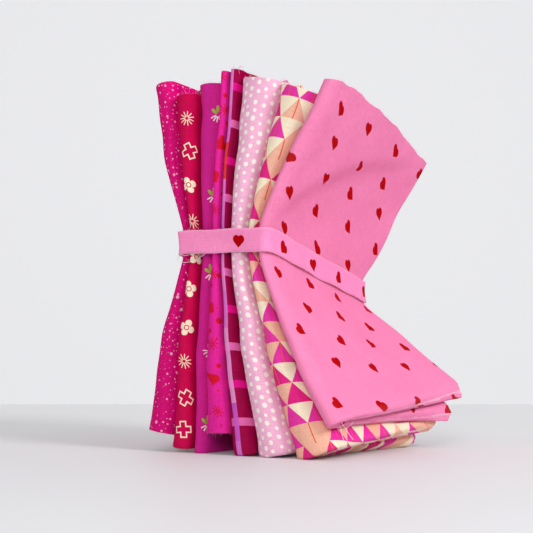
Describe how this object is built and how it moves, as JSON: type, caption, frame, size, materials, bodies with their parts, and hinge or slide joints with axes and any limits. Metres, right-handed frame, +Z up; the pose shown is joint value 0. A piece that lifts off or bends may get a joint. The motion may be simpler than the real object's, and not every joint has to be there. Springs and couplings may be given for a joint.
{
  "type": "fat quarter bundle",
  "caption": "Fanned stack of folded quilting cottons standing on edge, tied round the middle with a strip of the same cloth.",
  "frame": {"origin": "middle of the bundle's footprint on the table", "axes": "+X across the stack from the first folded cotton to the last, -Y towards the folded front edges, +Z up"},
  "size_m": [0.1472, 0.1402, 0.2269],
  "materials": {
    "quarter_1_speckled": "matt printed cotton",
    "quarter_2_flowers": "matt printed cotton",
    "quarter_3_sprigs": "matt printed cotton",
    "quarter_4_dots": "matt printed cotton",
    "quarter_5_plaid": "matt printed cotton",
    "quarter_6_dotted": "matt printed cotton",
    "quarter_7_triangles": "matt printed cotton",
    "quarter_8_hearts": "matt printed cotton",
    "tie_strip": "matt printed cotton"
  },
  "bodies": {
    "root": {"quarter_1_speckled": "quarter_1_speckled", "quarter_2_flowers": "quarter_2_flowers", "quarter_3_sprigs": "quarter_3_sprigs", "quarter_4_dots": "quarter_4_dots", "quarter_5_plaid": "quarter_5_plaid", "quarter_6_dotted": "quarter_6_dotted", "quarter_7_triangles": "quarter_7_triangles", "quarter_8_hearts": "quarter_8_hearts", "tie_strip": "tie_strip"}
  },
  "joints": []
}
